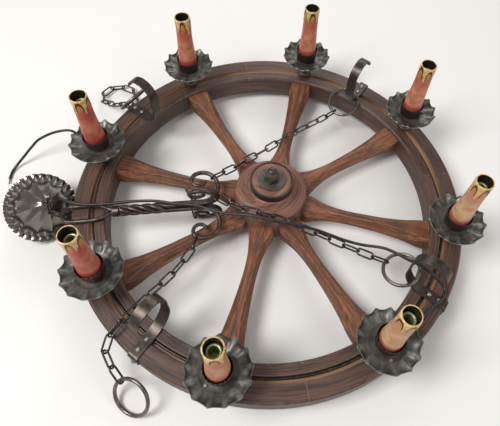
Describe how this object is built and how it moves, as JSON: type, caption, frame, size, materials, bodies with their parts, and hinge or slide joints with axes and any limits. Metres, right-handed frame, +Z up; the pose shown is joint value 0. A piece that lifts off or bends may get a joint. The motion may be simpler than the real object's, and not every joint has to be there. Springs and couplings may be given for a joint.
{
  "type": "wagon wheel chandelier",
  "caption": "Wooden spoked wheel laid flat with candle lamps on its rim, strap hooks, rings on chains, a twisted hanger with scroll hooks and a fluted ceiling canopy.",
  "frame": {"origin": "middle of the hub bolt's flat head, on the nave's underside, on which the wheel stands", "axes": "+Z up along the wheel's axle, through the hub nut; +X away from the canopy, which lies on the -X side; +Y towards lamps 1 and 2"},
  "size_m": [0.8425, 0.7114, 0.2344],
  "materials": {
    "dark_wood": "dark stained, worn oil finish",
    "spoke_wood": "brown stained, satin",
    "nave_wood": "turned, brown stained, satin",
    "pan_iron": "dark grey-green iron finish, satin",
    "cup_brown": "dark brown, satin",
    "bright_steel": "plain, slightly worn",
    "holder_plastic": "moulded, matt",
    "candle_plastic": "wax-like, dripped, tinted ivory to red",
    "black_iron": "blackened iron, satin",
    "chain_iron": "dull grey iron",
    "canopy_iron": "dark pressed sheet, satin",
    "cable_black": "black sheath, satin"
  },
  "bodies": {
    "wheel": {"felloe_1": "dark_wood", "felloe_2": "dark_wood", "felloe_3": "dark_wood", "felloe_4": "dark_wood", "spoke_1": "spoke_wood", "spoke_2": "spoke_wood", "spoke_3": "spoke_wood", "spoke_4": "spoke_wood", "spoke_5": "spoke_wood", "spoke_6": "spoke_wood", "spoke_7": "spoke_wood", "spoke_8": "spoke_wood", "nave": "nave_wood", "nave_band": "black_iron", "hub_bolt": "bright_steel", "hub_washer": "bright_steel", "hub_nut": "bright_steel", "lamp_feet": "pan_iron", "drip_pans": "pan_iron", "pan_screws": "bright_steel", "candle_cups": "cup_brown", "lamp_tubes": "bright_steel", "lampholders": "holder_plastic", "bracket_1": "black_iron", "bracket_2": "black_iron", "bracket_3": "black_iron", "bracket_4": "black_iron", "bracket_screws": "bright_steel", "chain_1": "chain_iron", "chain_2": "chain_iron", "chain_3": "chain_iron", "chain_4": "chain_iron", "hanger_eye": "black_iron", "hanger_bar_1": "black_iron", "hanger_bar_2": "black_iron", "hanger_bar_3": "black_iron", "hanger_bar_4": "black_iron", "rim_cable": "cable_black", "lead_cable": "cable_black", "tail_cable": "cable_black"},
    "sleeve_1": {"candle_sleeve_1": "candle_plastic"},
    "sleeve_2": {"candle_sleeve_2": "candle_plastic"},
    "sleeve_3": {"candle_sleeve_3": "candle_plastic"},
    "sleeve_4": {"candle_sleeve_4": "candle_plastic"},
    "sleeve_5": {"candle_sleeve_5": "candle_plastic"},
    "sleeve_6": {"candle_sleeve_6": "candle_plastic"},
    "sleeve_7": {"candle_sleeve_7": "candle_plastic"},
    "sleeve_8": {"candle_sleeve_8": "candle_plastic"},
    "ring_1": {"big_ring_1": "chain_iron"},
    "ring_2": {"big_ring_2": "chain_iron"},
    "ring_3": {"big_ring_3": "chain_iron"},
    "end_link_1": {"end_link_1": "chain_iron"},
    "end_link_2": {"end_link_2": "chain_iron"},
    "end_link_3": {"end_link_3": "chain_iron"},
    "ring_4": {"big_ring_4": "chain_iron"},
    "canopy_link_1": {"canopy_link_1": "chain_iron"},
    "canopy_link_2": {"canopy_link_2": "chain_iron"},
    "canopy": {"canopy_bell": "canopy_iron", "canopy_plate": "canopy_iron", "canopy_rod": "black_iron"}
  },
  "joints": [
    {"name": "sleeve_lift_1", "type": "slide", "parent": "wheel", "child": "sleeve_1", "axis": [0, 0, 1], "range_m": [0, 0.13]},
    {"name": "sleeve_lift_2", "type": "slide", "parent": "wheel", "child": "sleeve_2", "axis": [0, 0, 1], "range_m": [0, 0.13]},
    {"name": "sleeve_lift_3", "type": "slide", "parent": "wheel", "child": "sleeve_3", "axis": [0, 0, 1], "range_m": [0, 0.13]},
    {"name": "sleeve_lift_4", "type": "slide", "parent": "wheel", "child": "sleeve_4", "axis": [0, 0, 1], "range_m": [0, 0.13]},
    {"name": "sleeve_lift_5", "type": "slide", "parent": "wheel", "child": "sleeve_5", "axis": [0, 0, 1], "range_m": [0, 0.13]},
    {"name": "sleeve_lift_6", "type": "slide", "parent": "wheel", "child": "sleeve_6", "axis": [0, 0, 1], "range_m": [0, 0.13]},
    {"name": "sleeve_lift_7", "type": "slide", "parent": "wheel", "child": "sleeve_7", "axis": [0, 0, 1], "range_m": [0, 0.13]},
    {"name": "sleeve_lift_8", "type": "slide", "parent": "wheel", "child": "sleeve_8", "axis": [0, 0, 1], "range_m": [0, 0.13]},
    {"name": "ring_turn_1", "type": "hinge", "parent": "wheel", "child": "ring_1", "pos_m": [-0.23896, 0.24745, 0.084], "axis": [-0.5721, 0.5721, 0.5878], "continuous": true},
    {"name": "ring_turn_2", "type": "hinge", "parent": "wheel", "child": "ring_2", "pos_m": [0.18878, 0.20245, 0.06474], "axis": [-0.2418, -0.2418, 0.9397], "continuous": true},
    {"name": "ring_turn_3", "type": "hinge", "parent": "wheel", "child": "ring_3", "pos_m": [0.1914, -0.18037, 0.0735], "axis": [-0.1949, 0.1949, 0.9613], "continuous": true},
    {"name": "end_link_swing_1", "type": "hinge", "parent": "wheel", "child": "end_link_1", "pos_m": [-0.28062, -0.21423, 0.06974], "axis": [0.5596, -0.6481, 0.5165], "range_deg": [-40, 0]},
    {"name": "end_link_swing_2", "type": "hinge", "parent": "end_link_1", "child": "end_link_2", "pos_m": [-0.2898, -0.23448, 0.05773], "axis": [-0.6949, -0.0656, 0.7161], "range_deg": [0, 15]},
    {"name": "end_link_swing_3", "type": "hinge", "parent": "end_link_2", "child": "end_link_3", "pos_m": [-0.28126, -0.25452, 0.04409], "axis": [-0.8213, 0.0993, -0.5617], "range_deg": [0, 40]},
    {"name": "ring_swing_4", "type": "hinge", "parent": "end_link_3", "child": "ring_4", "pos_m": [-0.26805, -0.27549, 0.03595], "axis": [0.506, 0.5719, -0.6457], "range_deg": [-50, 0]},
    {"name": "canopy_link_1_swing", "type": "hinge", "parent": "wheel", "child": "canopy_link_1", "pos_m": [-0.36374, 0.00702, 0.06698], "axis": [0.0628, 0.998, 0], "range_deg": [0, 25]},
    {"name": "canopy_link_2_swing", "type": "hinge", "parent": "canopy_link_1", "child": "canopy_link_2", "pos_m": [-0.38152, 0.00797, 0.08212], "axis": [0.6573, -0.0414, 0.7525], "range_deg": [0, 35]},
    {"name": "canopy_swing", "type": "hinge", "parent": "canopy_link_2", "child": "canopy", "pos_m": [-0.37753, 0.02005, 0.10471], "axis": [0.0586, 0.8899, -0.4523], "range_deg": [0, 9]}
  ]
}
